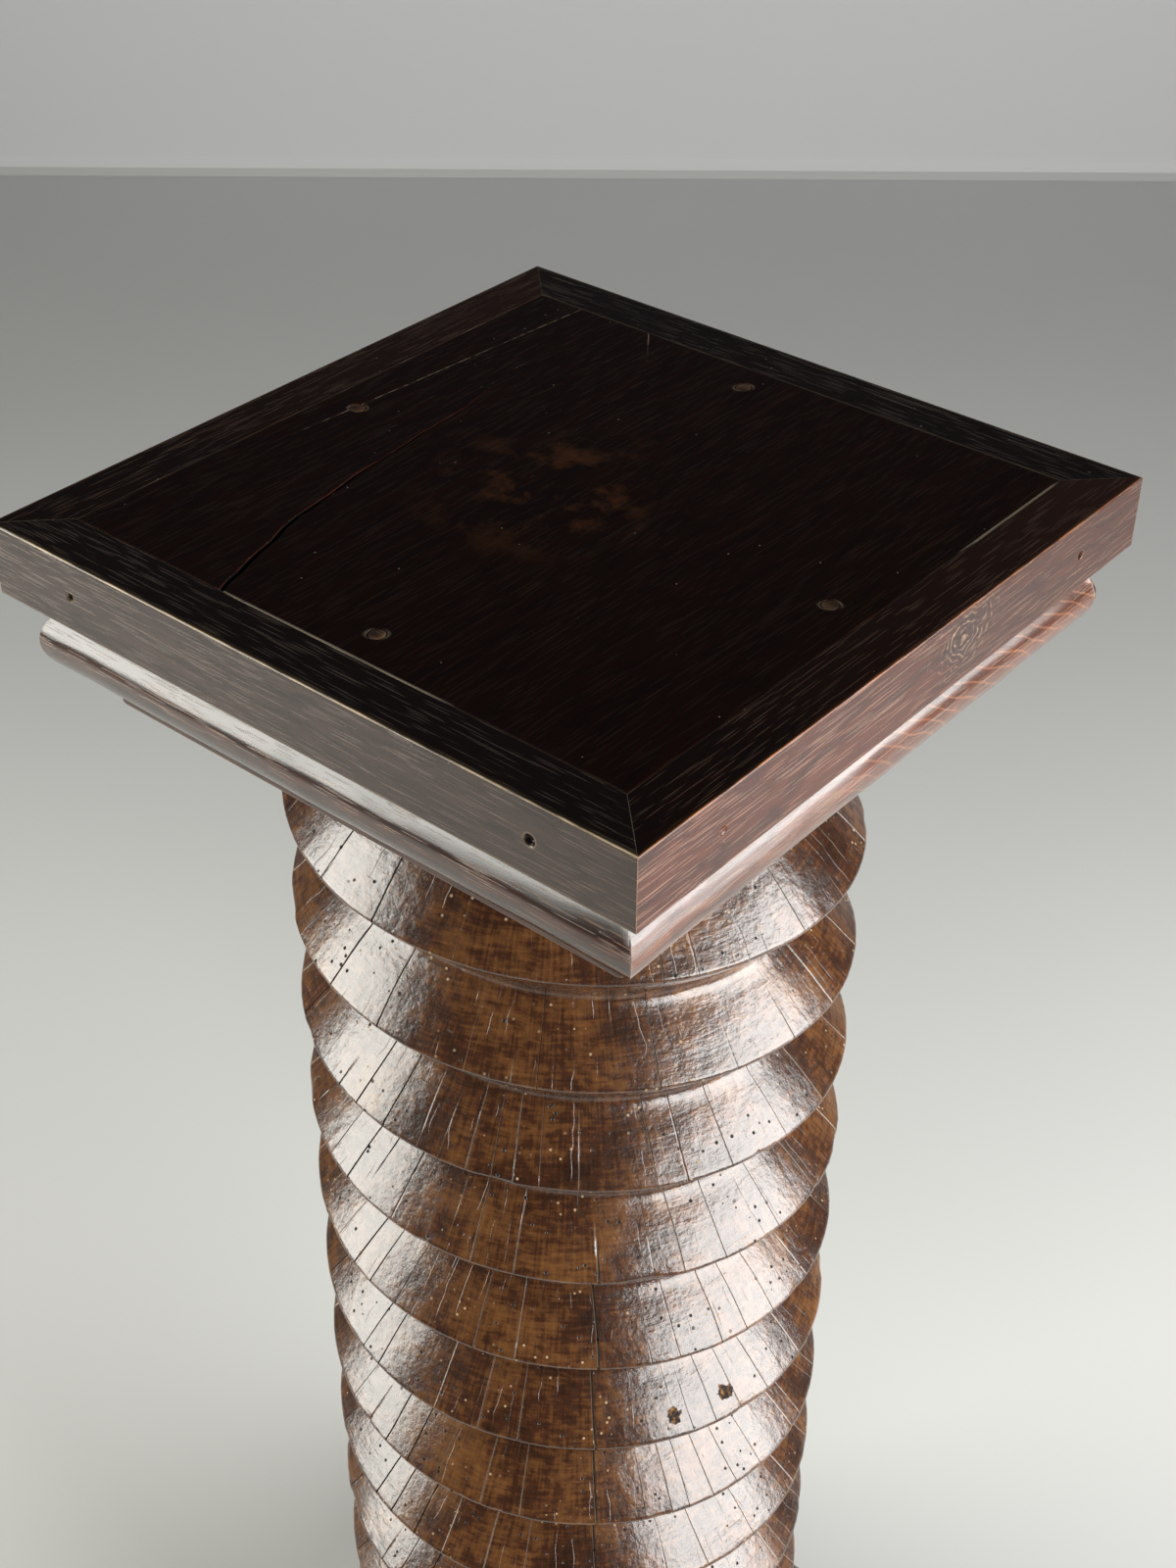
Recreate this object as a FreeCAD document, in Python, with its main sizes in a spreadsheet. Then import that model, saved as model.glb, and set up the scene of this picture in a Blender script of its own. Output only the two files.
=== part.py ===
"""Pedestal made from an old wooden press screw, with a framed square slab at each end.

Frame: millimetres, +Z up, origin in the middle of the underside. Each slab with its moulding is modelled with
its outer face at z = 0 and its body below, as the top one stands; the base is the same work turned over.
"""
import FreeCAD, Part
import math
import os
import Sketcher

doc = FreeCAD.newDocument("press_screw_pedestal")
sheet = doc.addObject("Spreadsheet::Sheet", "Sizes")

DRIVING_SIZES = {
    "top_width": 400.0,             # side of the square slab
    "slab_thick": 39.5,             # panel and rails, flush on both faces
    "rail_width": 29.5,             # mitred rail round the panel
    "bead_inset": 10.0,             # slab face to the nose of the moulding
    "bead_radius": 21.0,            # half-round nose of the moulding
    "bead_fillet": 6.5,             # flat step between the slab and the round
    "bead_depth": 26.0,             # nose to back of a moulding strip
    "plate_inset": 35.0,            # slab face to the plate's edge
    "plate_thick": 20.0,
    "column_length": 884.0,         # threaded length, plate to plate
    "crest_diameter": 313.0,
    "thread_pitch": 71.5,           # one start, left-handed
    "thread_depth": 27.0,
    "crest_land": 4.5,
    "thread_start": 54.4,           # middle of the first groove above the column's foot, on the +X side
    "tenon_side": 80.0,             # square, so that the column can't turn in its boards
    "tenon_clearance": 0.2,         # all round the tenon
    "tenon_end_gap": 2.0,           # end of the tenon to the panel
    "plug_diameter": 9.0,           # round plugs hide the nails in the top panel
    "plug_length": 12.0,
    "plug_clearance": 0.2,          # all round a plug
    "nail_side": 3.0,               # square shank
    "nail_set": 2.5,                # head below the face it was driven into
    "nail_clearance": 0.1,          # all round a nail and at its point
    "rail_nail_length": 45.0,       # stops short of the nails of the next rail
    "rail_nail_from_corner": 56.0,
    "panel_nail_length": 60.0,
    "panel_nail_from_edge": 20.0,   # edge of the panel to the middle of a nail
    "panel_nail_shift": 11.0,       # those at front and back stand off the middle line
}
for row, (alias, number) in enumerate(DRIVING_SIZES.items(), start=1):
    sheet.set(f"A{row}", alias)
    sheet.set(f"B{row}", str(number))
    sheet.setAlias(f"B{row}", alias)
doc.recompute()


class Size:
    """A number with the sheet formula that gives it, so that sums of sizes stay bound to the sheet."""

    def __init__(self, value, formula):
        self.value = value
        self.formula = formula

    def joined(self, other, sign, value):
        return Size(value, f"({self.formula} {sign} {as_size(other).formula})")

    def __add__(self, other):
        return self.joined(other, "+", self.value + as_size(other).value)

    def __sub__(self, other):
        return self.joined(other, "-", self.value - as_size(other).value)

    def __mul__(self, other):
        return self.joined(other, "*", self.value * as_size(other).value)

    def __truediv__(self, other):
        return self.joined(other, "/", self.value / as_size(other).value)

    def __neg__(self):
        return Size(-self.value, f"(0 - {self.formula})")


def as_size(number):
    return number if isinstance(number, Size) else Size(float(number), repr(float(number)))


def size(alias):
    return Size(sheet.get(alias), f"Sizes.{alias}")


ZERO = as_size(0)
Y_AXIS = FreeCAD.Vector(0, 1, 0)
Z_AXIS = FreeCAD.Vector(0, 0, 1)

# Distances from the middle of the slab, and depths below its outer face
top_half = size("top_width") / 2
panel_half = top_half - size("rail_width")
bead_nose = top_half - size("bead_inset")
bead_spring = bead_nose - size("bead_radius")
bead_back = bead_nose - size("bead_depth")
plate_half = top_half - size("plate_inset")
slab_thick = size("slab_thick")
round_top = slab_thick + size("bead_fillet")
bead_bottom = round_top + size("bead_radius") * 2
end_height = bead_bottom + size("plate_thick")
total_height = size("column_length") + end_height * 2

# Sides of the square by the angle, round Z, that turns a front piece to them
SIDES = {"front": 0, "right": 90, "back": 180, "left": 270}


def place(piece, end, turn=0):
    """A piece made for the front of the top goes round Z to its side; at the base it is turned over first."""
    rotation = FreeCAD.Rotation(Z_AXIS, turn)
    if end == "base":
        rotation = rotation.multiply(FreeCAD.Rotation(Y_AXIS, 180))
    piece.Placement = FreeCAD.Placement(FreeCAD.Vector(), rotation)
    if end == "top":
        piece.setExpression("Placement.Base.z", total_height.formula)


def new_body(label):
    body = doc.addObject("PartDesign::Body", label)
    body.Label = label
    return body


def origin_feature(body, role):
    return next(feature for feature in body.Origin.OriginFeatures if feature.Role == role)


def new_sketch(body, role, name):
    """An empty sketch on one of the body's own origin planes."""
    sketch = body.newObject("Sketcher::SketchObject", name)
    sketch.AttachmentSupport = [(origin_feature(body, role), "")]
    sketch.MapMode = "FlatFace"
    return sketch


def hold(sketch, kind, length, *where):
    """A dimension in a sketch, bound to the sheet."""
    number = sketch.addConstraint(Sketcher.Constraint(kind, *where, length.value))
    sketch.setExpression(f"Constraints[{number}]", length.formula)


def hold_point(sketch, spot, geometry, end):
    hold(sketch, "DistanceX", spot[0], -1, 1, geometry, end)
    hold(sketch, "DistanceY", spot[1], -1, 1, geometry, end)


def vector(spot):
    return FreeCAD.Vector(spot[0].value, spot[1].value, 0)


def draw_line(sketch, corners):
    """Straight lines from corner to corner, each start held by its coordinates; returns the first line."""
    first = sketch.GeometryCount
    for here, there in zip(corners, corners[1:]):
        line = sketch.addGeometry(Part.LineSegment(vector(here), vector(there)))
        if line > first:
            sketch.addConstraint(Sketcher.Constraint("Coincident", line, 1, line - 1, 2))
        hold_point(sketch, here, line, 1)
    return first


def draw_outline(sketch, corners):
    """Straight lines through the corners and back to the first one."""
    first = draw_line(sketch, corners + corners[:1])
    sketch.addConstraint(Sketcher.Constraint("Coincident", sketch.GeometryCount - 1, 2, first, 1))


def draw_square(sketch, half, middle=(ZERO, ZERO)):
    across, along = middle
    draw_outline(sketch, [(across - half, along - half), (across + half, along - half),
                          (across + half, along + half), (across - half, along + half)])


def draw_circle(sketch, middle, radius):
    number = sketch.addGeometry(Part.Circle(vector(middle), Z_AXIS, radius.value))
    hold_point(sketch, middle, number, 3)
    hold(sketch, "Radius", radius, number)


def pad_down(body, sketch, thick, start=ZERO):
    """Wood of the given thickness, from the start depth downwards."""
    sketch.setExpression("AttachmentOffset.Base.z", (-start).formula)
    pad = body.newObject("PartDesign::Pad", "Wood")
    pad.Profile = sketch
    pad.Reversed = True
    pad.setExpression("Length", thick.formula)
    doc.recompute()


def cut(body, sketch, depth=None):
    """A pocket to the given depth, or right through both ways; it has to take wood away."""
    before = body.Shape.Volume
    pocket = body.newObject("PartDesign::Pocket", "Cut")
    pocket.Profile = sketch
    if depth is None:
        pocket.Type = "ThroughAll"
        pocket.SideType = "Symmetric"
    else:
        pocket.setExpression("Length", depth.formula)
    doc.recompute()
    if body.Shape.Volume >= before:
        raise RuntimeError(f"a cut in {body.Label} removes nothing")
    return pocket


# Nails go level through the rails into the panel, and upright through the panel into its core
nail_half = size("nail_side") / 2
nail_hole_half = nail_half + size("nail_clearance")
rail_nail_reach = top_half - size("rail_nail_from_corner")
RAIL_NAIL_SPOTS = {"right": (rail_nail_reach, -slab_thick / 2), "left": (-rail_nail_reach, -slab_thick / 2)}
rail_nail_end = size("nail_set") + size("rail_nail_length") + size("nail_clearance")
panel_nail_reach = panel_half - size("panel_nail_from_edge")
PANEL_NAIL_SPOTS = {"front": (size("panel_nail_shift"), -panel_nail_reach), "right": (panel_nail_reach, ZERO),
                    "back": (-size("panel_nail_shift"), panel_nail_reach), "left": (-panel_nail_reach, ZERO)}
PANEL_NAIL_HEADS = {"top": size("plug_length"), "base": size("nail_set")}


def draw_panel_nail_holes(body):
    holes = new_sketch(body, "XY_Plane", "PanelNailHoles")
    for spot in PANEL_NAIL_SPOTS.values():
        draw_square(holes, nail_hole_half, spot)
    return holes


def draw_rail_nail_holes(body):
    holes = new_sketch(body, "XZ_Plane", "RailNailHoles")
    for spot in RAIL_NAIL_SPOTS.values():
        draw_square(holes, nail_hole_half, spot)
    return holes


def make_panel(end):
    """Board lying flush inside the rails, with nail holes in its four edges."""
    body = new_body(f"{end}_panel")
    square = new_sketch(body, "XY_Plane", "Square")
    draw_square(square, panel_half)
    pad_down(body, square, slab_thick)
    cut(body, draw_panel_nail_holes(body))
    if end == "top":
        plug_holes = new_sketch(body, "XY_Plane", "PlugHoles")
        for spot in PANEL_NAIL_SPOTS.values():
            draw_circle(plug_holes, spot, size("plug_diameter") / 2 + size("plug_clearance"))
        cut(body, plug_holes, size("plug_length"))
    holes = draw_rail_nail_holes(body)
    holes.setExpression("AttachmentOffset.Base.z", panel_half.formula)
    front_edge = cut(body, holes, rail_nail_end - size("rail_width"))
    all_edges = body.newObject("PartDesign::PolarPattern", "AllEdges")
    all_edges.Originals = [front_edge]
    all_edges.Axis = (origin_feature(body, "Z_Axis"), [""])
    all_edges.Angle = 360
    all_edges.Occurrences = len(SIDES)
    body.Tip = all_edges
    place(body, end)
    return body


def make_rail(end, side):
    """Edge rail, mitred at both ends, with two nail holes through it."""
    body = new_body(f"{end}_rail_{side}")
    mitred = new_sketch(body, "XY_Plane", "Mitred")
    draw_outline(mitred, [(-top_half, -top_half), (top_half, -top_half),
                          (panel_half, -panel_half), (-panel_half, -panel_half)])
    pad_down(body, mitred, slab_thick)
    cut(body, draw_rail_nail_holes(body))
    place(body, end, SIDES[side])
    return body


def make_bead(end, side):
    """Moulding strip glued to the core's edge: a half-round nose under a flat step, mitred at both ends."""
    body = new_body(f"{end}_bead_{side}")
    section = new_sketch(body, "YZ_Plane", "Section")
    back = draw_line(section, [(-bead_spring, -round_top), (-bead_spring, -slab_thick),
                               (-bead_back, -slab_thick), (-bead_back, -bead_bottom),
                               (-bead_spring, -bead_bottom)])
    last = section.GeometryCount - 1
    hold_point(section, (-bead_spring, -bead_bottom), last, 2)
    middle = (-bead_spring, -round_top - size("bead_radius"))
    circle = Part.Circle(vector(middle), Z_AXIS, size("bead_radius").value)
    nose = section.addGeometry(Part.ArcOfCircle(circle, math.pi / 2, math.pi * 3 / 2))
    section.addConstraint(Sketcher.Constraint("Coincident", nose, 1, back, 1))
    section.addConstraint(Sketcher.Constraint("Coincident", nose, 2, last, 2))
    hold(section, "DistanceX", middle[0], -1, 1, nose, 3)
    strip = body.newObject("PartDesign::Pad", "Strip")
    strip.Profile = section
    strip.SideType = "Symmetric"
    strip.setExpression("Length", (bead_nose * 2).formula)
    doc.recompute()
    mitres = new_sketch(body, "XY_Plane", "Mitres")
    for hand in (1, -1):
        draw_outline(mitres, [(bead_back * hand, -bead_back), (top_half * hand, -top_half),
                              (top_half * hand, -bead_back)])
    cut(body, mitres)
    place(body, end, SIDES[side])
    return body


def make_mortised_board(label, end, half, thick, start):
    """Square board with the mortise that the column's tenon goes through."""
    body = new_body(label)
    square = new_sketch(body, "XY_Plane", "Square")
    draw_square(square, half)
    draw_square(square, size("tenon_side") / 2 + size("tenon_clearance"))
    pad_down(body, square, thick, start)
    place(body, end)
    return body


def make_core(end):
    """Board inside the ring of moulding, between the slab and the plate, that the panel is nailed to."""
    body = make_mortised_board(f"{end}_core", end, bead_back, bead_bottom - slab_thick, slab_thick)
    cut(body, draw_panel_nail_holes(body),
        PANEL_NAIL_HEADS[end] + size("panel_nail_length") + size("nail_clearance"))
    return body


def make_plug(name, spot):
    """Round wooden plug over a nail's head, cut off flush with the panel."""
    body = new_body(name)
    disc = new_sketch(body, "XY_Plane", "Disc")
    draw_circle(disc, spot, size("plug_diameter") / 2)
    pad_down(body, disc, size("plug_length"))
    return body


def make_nail(name, sides, corner):
    """Square-shanked nail: a bar with the given sides along X, Y and Z, from its lowest corner."""
    nail = doc.addObject("Part::Box", name)
    for edge, length in zip(("Length", "Width", "Height"), sides):
        nail.setExpression(edge, length.formula)
    for axis, distance in zip("xyz", corner):
        nail.setExpression(f"Placement.Base.{axis}", distance.formula)
    return nail


def make_rail_nails(end, side):
    """The two nails of one rail, driven level through it into the panel's edge."""
    nails = []
    for hand, (across, level) in RAIL_NAIL_SPOTS.items():
        nails.append(make_nail(f"{end}_{side}_nail_{hand}",
                               (size("nail_side"), size("rail_nail_length"), size("nail_side")),
                               (across - nail_half, size("nail_set") - top_half, level - nail_half)))
    pair = doc.addObject("Part::Compound", f"{end}_{side}_nails")
    pair.Links = nails
    pair.Placement = FreeCAD.Placement(FreeCAD.Vector(), FreeCAD.Rotation(Z_AXIS, SIDES[side]))
    return pair


def make_panel_nail(end, side):
    """Upright nail, driven through the panel into its core."""
    across, along = PANEL_NAIL_SPOTS[side]
    point = -PANEL_NAIL_HEADS[end] - size("panel_nail_length")
    return make_nail(f"{end}_panel_nail_{side}",
                     (size("nail_side"), size("nail_side"), size("panel_nail_length")),
                     (across - nail_half, along - nail_half, point))


def gather(label, members, end):
    """Like fasteners, kept together as the separate solids of one node."""
    group = doc.addObject("Part::Compound", label)
    group.Label = label
    group.Links = members
    place(group, end)
    return group


def make_column():
    """Press screw: a round blank with a square tenon at each end and one left-handed V groove along it."""
    body = new_body("screw_column")
    crest = size("crest_diameter") / 2
    length = size("column_length")
    disc = new_sketch(body, "XY_Plane", "Disc")
    draw_circle(disc, (ZERO, ZERO), crest)
    blank = body.newObject("PartDesign::Pad", "Blank")
    blank.Profile = disc
    blank.setExpression("Length", length.formula)
    tenon_length = end_height - slab_thick - size("tenon_end_gap")
    square = new_sketch(body, "XY_Plane", "TenonSquare")
    draw_square(square, size("tenon_side") / 2)
    square.setExpression("AttachmentOffset.Base.z", (-tenon_length).formula)
    tenons = body.newObject("PartDesign::Pad", "Tenons")
    tenons.Profile = square
    tenons.setExpression("Length", (length + tenon_length * 2).formula)
    doc.recompute()
    pitch = size("thread_pitch")
    run_out = pitch * 2
    root = crest - size("thread_depth")
    mouth_half = (pitch - size("crest_land")) / 2
    past = size("crest_land") / 2
    wide = mouth_half + mouth_half / size("thread_depth") * past
    middle = size("thread_start") - run_out
    groove = new_sketch(body, "XZ_Plane", "Groove")
    draw_outline(groove, [(crest + past, middle - wide), (root, middle), (crest + past, middle + wide)])
    before = body.Shape.Volume
    thread = body.newObject("PartDesign::SubtractiveHelix", "Thread")
    thread.Profile = groove
    thread.ReferenceAxis = (groove, ["V_Axis"])
    thread.Mode = "pitch-height-angle"
    thread.LeftHanded = True
    thread.setExpression("Pitch", pitch.formula)
    thread.setExpression("Height", (length + run_out * 2).formula)
    doc.recompute()
    if body.Shape.Volume >= before:
        raise RuntimeError("the thread removes nothing")
    body.setExpression("Placement.Base.z", end_height.formula)
    return body


pieces = [make_column()]
for end in ("top", "base"):
    pieces.append(make_panel(end))
    pieces.append(make_core(end))
    pieces.append(make_mortised_board(f"{end}_plate", end, plate_half, size("plate_thick"), bead_bottom))
    for side in SIDES:
        pieces.append(make_rail(end, side))
        pieces.append(make_bead(end, side))
    pieces.append(gather(f"rail_nails_{end}", [make_rail_nails(end, side) for side in SIDES], end))
    pieces.append(gather(f"panel_nails_{end}", [make_panel_nail(end, side) for side in SIDES], end))
plugs = [make_plug(f"plug_{side}", spot) for side, spot in PANEL_NAIL_SPOTS.items()]
pieces.append(gather("panel_plugs", plugs, "top"))
doc.recompute()

for thing in doc.Objects:
    if "Invalid" in thing.State or "Error" in thing.State:
        raise RuntimeError(f"{thing.Label} failed: {thing.State}")
for piece in pieces:
    if piece.Shape.isNull() or not piece.Shape.isValid():
        raise RuntimeError(f"{piece.Label} has no sound shape")

os.makedirs("parts", exist_ok=True)
for piece in pieces:
    piece.Shape.exportStep(f"parts/{piece.Label}.step")
print(f"{len(pieces)} pieces, {total_height.value:.1f} mm tall")
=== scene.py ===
"""A wooden pedestal: an old press screw with a left-handed thread, held between two square framed slabs.

Each visible piece is a worn and waxed surface over its solid in the frame. Lengths are in metres.
"""

import math

import bmesh
import bpy
import numpy as np
from mathutils import Matrix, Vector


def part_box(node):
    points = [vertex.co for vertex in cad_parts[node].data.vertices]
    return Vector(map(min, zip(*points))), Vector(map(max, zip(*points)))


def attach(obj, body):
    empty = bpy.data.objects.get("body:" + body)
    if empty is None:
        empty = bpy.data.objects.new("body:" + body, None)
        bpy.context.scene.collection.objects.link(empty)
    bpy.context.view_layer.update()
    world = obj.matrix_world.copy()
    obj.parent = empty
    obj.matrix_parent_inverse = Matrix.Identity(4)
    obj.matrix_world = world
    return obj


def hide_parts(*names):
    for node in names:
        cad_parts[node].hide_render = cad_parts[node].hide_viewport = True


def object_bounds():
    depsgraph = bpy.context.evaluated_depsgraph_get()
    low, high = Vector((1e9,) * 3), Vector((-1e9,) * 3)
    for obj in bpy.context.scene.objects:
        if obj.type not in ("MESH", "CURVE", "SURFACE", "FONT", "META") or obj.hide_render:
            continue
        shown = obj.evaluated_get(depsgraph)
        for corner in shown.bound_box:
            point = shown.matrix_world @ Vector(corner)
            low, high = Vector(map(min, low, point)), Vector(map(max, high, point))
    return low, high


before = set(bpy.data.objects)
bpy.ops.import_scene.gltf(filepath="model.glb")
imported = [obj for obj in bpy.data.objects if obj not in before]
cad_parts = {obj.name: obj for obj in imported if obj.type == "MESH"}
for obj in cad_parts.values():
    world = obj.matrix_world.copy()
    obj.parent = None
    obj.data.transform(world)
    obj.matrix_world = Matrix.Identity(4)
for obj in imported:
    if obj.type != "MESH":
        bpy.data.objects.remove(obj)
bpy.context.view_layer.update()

# The screw: one trunk of walnut, turned round, then cut by hand with a left-handed V thread for a press.
# Years of wax and handling made it glossy, and drying opened checks that run from the heart to the crests.
# Its square tenons go through the plates and the cores.
MM = 0.001
TAU = 2 * math.pi
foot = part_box("base_plate")[1].z
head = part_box("top_plate")[0].z
tenon_ends = (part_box("screw_column")[0].z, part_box("screw_column")[1].z)
tenon_half = 40 * MM
crest_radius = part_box("screw_column")[1].x
pitch = 71.5 * MM
crest_level = head - 78.85 * MM
crest_ease = 1.8 * MM
root_ease = 6.6 * MM
flank_bulge = 1 * MM
seam_angle = math.radians(128)


def lump(u, v, seed, around=64):
    """Smooth random field from -1 to 1: random values on a unit lattice, which repeats after `around` cells
    of u, blended between neighbours with the curve 3t squared less 2t cubed."""
    table = np.random.default_rng(seed).uniform(-1, 1, (around, 64))
    left, low = np.floor(u).astype(int), np.floor(v).astype(int)
    a, b = u - left, v - low
    a, b = a * a * (3 - 2 * a), b * b * (3 - 2 * b)
    left, right, low, high = left % around, (left + 1) % around, low % 64, (low + 1) % 64
    return ((table[left, low] * (1 - a) + table[right, low] * a) * (1 - b)
            + (table[left, high] * (1 - a) + table[right, high] * a) * b)


def ease(value):
    """Ramp held between 0 and 1 and rounded at both ends: 3t squared less 2t cubed."""
    t = np.clip(value, 0, 1)
    return t * t * (3 - 2 * t)


def thread_depth(off):
    """Depth below the crest at a distance along the axis: a 45 degree flank with a slight swell, between a
    crest and a root that are rounded as parabolas."""
    half = pitch / 2
    crest = off ** 2 / (2 * crest_ease)
    flank = off - crest_ease / 2
    root = half - (crest_ease + root_ease) / 2 - (half - off) ** 2 / (2 * root_ease)
    depth = np.where(off < crest_ease, crest, np.where(off < half - root_ease, flank, root))
    return depth - flank_bulge * np.sin(math.pi * off / half) ** 2


# Drying checks: angle round the axis in degrees, half width and the stretch below the thread's top in mm, and
# how far each has filled with pale dust
to_foot = 884
front_checks = [
    (-112.5, 0.4, 180, to_foot, 0.6), (-104.5, 0.6, 0, to_foot, 0.1), (-98.5, 0.55, 60, to_foot, 0.15),
    (-90.5, 0.5, 0, to_foot, 0.3), (-82.5, 0.45, 60, to_foot, 0.8), (-77.4, 0.35, 170, 330, 1),
    (-71.5, 0.5, 80, to_foot, 1), (-66.5, 0.35, 60, 330, 0.7), (-62.4, 0.45, 60, to_foot, 1),
    (-57.2, 0.35, 60, 230, 0.6), (-49.2, 0.45, 160, 260, 0.9), (-45.3, 0.95, 260, to_foot, 0.9),
    (-34.0, 0.35, 0, to_foot, 0.6), (-27.6, 0.55, 0, to_foot, 0.4), (-23.8, 0.35, 400, to_foot, 0.5),
    (-17.7, 0.5, 0, to_foot, 0.5), (-11.0, 0.45, 220, to_foot, 0.8), (-3.0, 0.35, 0, 600, 0.9),
    (3.4, 0.35, 330, 500, 0.9), (10.6, 0.5, 0, to_foot, 1), (15.1, 0.45, 450, to_foot, 1)]
# More checks round the far side, each with a width, stretch and dust of its own
far_from, far_to, far_count = 16, 243, 20
chance = np.random.default_rng(5)
back_angles = far_from + np.cumsum(chance.uniform(8, 16, far_count))
back_checks = np.stack([back_angles, chance.uniform(0.35, 0.7, far_count),
                        chance.uniform(-200, 250, far_count), chance.uniform(500, 1200, far_count),
                        chance.uniform(0.2, 1, far_count)], -1)[back_angles < far_to]
checks = np.concatenate([np.array(front_checks), back_checks])
check_angle = seam_angle + (np.radians(checks[:, 0]) - seam_angle) % TAU
check_half = checks[:, 1] * MM / crest_radius

# Lines up the screw: evenly spaced ones, and six at each check for its surroundings, its lips and its floor
even = np.linspace(seam_angle, seam_angle + TAU, 101)
even = even[np.abs(even[:, None] - check_angle).min(1) > 2.5 * check_half.max()]
lip = np.array([-1.8, -1, -0.35, 0.35, 1, 1.8])
line_angle = np.concatenate([even, (check_angle[:, None] + lip * check_half[:, None]).ravel()])
line_check = np.concatenate([np.zeros(len(even), int), np.repeat(np.arange(len(checks)), len(lip))])
line_floor = np.concatenate([np.zeros(len(even)), np.tile(np.abs(lip) < 0.5, len(checks))])
order = np.argsort(line_angle)
line_angle, line_check, line_floor = line_angle[order], line_check[order], line_floor[order]

# Rows follow the helix, closer together at the crest and the root
row_steps = np.array([0, 0.5, 1.1, 2, 4.6, 9, 14, 19.5, 25, 29.5, 32.5, 34.3]) * MM / pitch
one_turn = np.concatenate([[-0.5], -row_steps[:0:-1], row_steps])
turns = np.arange(math.floor((foot - crest_level) / pitch) - 1, math.ceil((head - crest_level) / pitch) + 2)
row_turn = (turns[:, None] + one_turn).ravel()[:, None]
bare_height = np.clip(crest_level + (row_turn - line_angle / TAU) * pitch, foot, head)
hand_wobble = 0.7 * MM * lump(line_angle * 12 / TAU, bare_height / pitch, 1, 12)
height = np.clip(bare_height + hand_wobble, foot, head)
turn_here = (height - hand_wobble - crest_level) / pitch + line_angle / TAU
off_crest = np.abs(turn_here - np.round(turn_here)) * pitch

# A check closes over its last 30 mm and comes and goes on its way down. The widest one stays open
below_head = (head - height) / MM
check_from, check_to = checks[line_check, 2], checks[line_check, 3]
wide, closing = checks[:, 1] > 0.9, 30
opened = ease((below_head - check_from) / closing)
check_open = (opened * ease((check_to - below_head) / closing)
              * np.clip(0.6 + 1.3 * lump(line_check * 7.13, height / (55 * MM), 2), 0, 1))
check_open = np.maximum(check_open, wide[line_check] * opened) * line_floor


def screw_lump(cells, tall, seed):
    """Smooth random field over the screw, with so many cells round it, each so tall."""
    return lump(line_angle * cells / TAU, height / tall, seed, cells)


# Chips along the crest, shallow dents all over, and checks that wander a little sideways. The wide check and
# those with little dust are deep, and dust nearly fills the others
near_crest = np.exp(-(off_crest / (3 * MM)) ** 2)
chip = np.clip(screw_lump(96, 11 * MM, 3) - 0.64, 0, 1) * near_crest
dent = 0.2 * screw_lump(72, 15 * MM, 4) + 0.1 * screw_lump(160, 6 * MM, 6)
check_depth = np.where(wide | (checks[:, 4] < 0.35), 2.2, 0.6)[line_check] * MM
radius = (crest_radius - thread_depth(off_crest) - 4 * MM * chip + (dent - 0.3) * MM
          - check_open * check_depth)
angle = line_angle + 1.7 * MM / crest_radius * screw_lump(48, 34 * MM, 7)
screw = np.stack([radius * np.cos(angle), radius * np.sin(angle), height,
                  np.exp(-(off_crest / (1.6 * MM)) ** 2), check_open * checks[line_check, 4]], -1)


def square_loft(rows):
    """Square outline carried through rows of (half side, corner radius, height, wear): each corner is a
    quarter circle about a point one radius in from both sides, and straight sides join the corners."""
    half, corner, level, wear = np.array(rows, float).T[..., None]
    quarter = np.append(np.repeat(np.arange(4), 5), 0)
    turn = np.append(np.arange(4).repeat(5) * TAU / 4 + np.tile(np.linspace(0, TAU / 4, 5), 4), 0)
    corner_x = np.sign(np.cos(TAU / 8 + quarter * TAU / 4))
    corner_y = np.sign(np.sin(TAU / 8 + quarter * TAU / 4))
    x = corner_x * (half - corner) + corner * np.cos(turn)
    y = corner_y * (half - corner) + corner * np.sin(turn)
    return np.stack([x, y, level + 0 * x, wear + 0 * x, 0 * x], -1)


def tenon(end, shoulder):
    """Square peg from the shoulder to its end, with its end edges eased by a millimetre."""
    inward = MM if end < shoulder else -MM
    return square_loft([(0, 0, end, 0), (tenon_half - MM, MM, end, 0), (tenon_half, MM, end + inward, 0),
                        (tenon_half, MM, shoulder, 0)])


weld = 0.002 * MM
crease = math.radians(40)


def clad(node, material, slot, *sheets):
    """Closed mesh over a solid of the frame, from grids of (x, y, z, wear, dust): neighbours in a grid become
    quads, edges that touch are welded, open rims are capped and faces are turned outwards."""
    numbers = np.cumsum([0] + [sheet[..., 0].size for sheet in sheets])
    grids = [start + np.arange(sheet[..., 0].size).reshape(sheet.shape[:2])
             for start, sheet in zip(numbers, sheets)]
    quads = [np.stack([g[:-1, :-1], g[:-1, 1:], g[1:, 1:], g[1:, :-1]], -1).reshape(-1, 4) for g in grids]
    points = np.concatenate([sheet.reshape(-1, 5) for sheet in sheets])
    mesh = bpy.data.meshes.new(node + "_finished")
    mesh.from_pydata(points[:, :3].tolist(), [], np.concatenate(quads).tolist())
    for column, mark in ((3, "wear"), (4, "dust")):
        values = points[:, column].astype(np.float32)
        mesh.attributes.new(mark, "FLOAT", "POINT").data.foreach_set("value", values)
    shell = bmesh.new()
    shell.from_mesh(mesh)
    bmesh.ops.remove_doubles(shell, verts=shell.verts, dist=weld)
    bmesh.ops.holes_fill(shell, edges=shell.edges, sides=0)
    bmesh.ops.recalc_face_normals(shell, faces=shell.faces)
    shell.to_mesh(mesh)
    shell.free()
    mesh.shade_smooth()
    mesh.set_sharp_from_angle(angle=crease)
    mesh.materials.append(material)
    piece = bpy.data.objects.new(mesh.name, mesh)
    bpy.context.scene.collection.objects.link(piece)
    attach(piece, "root")
    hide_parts(node)


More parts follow.
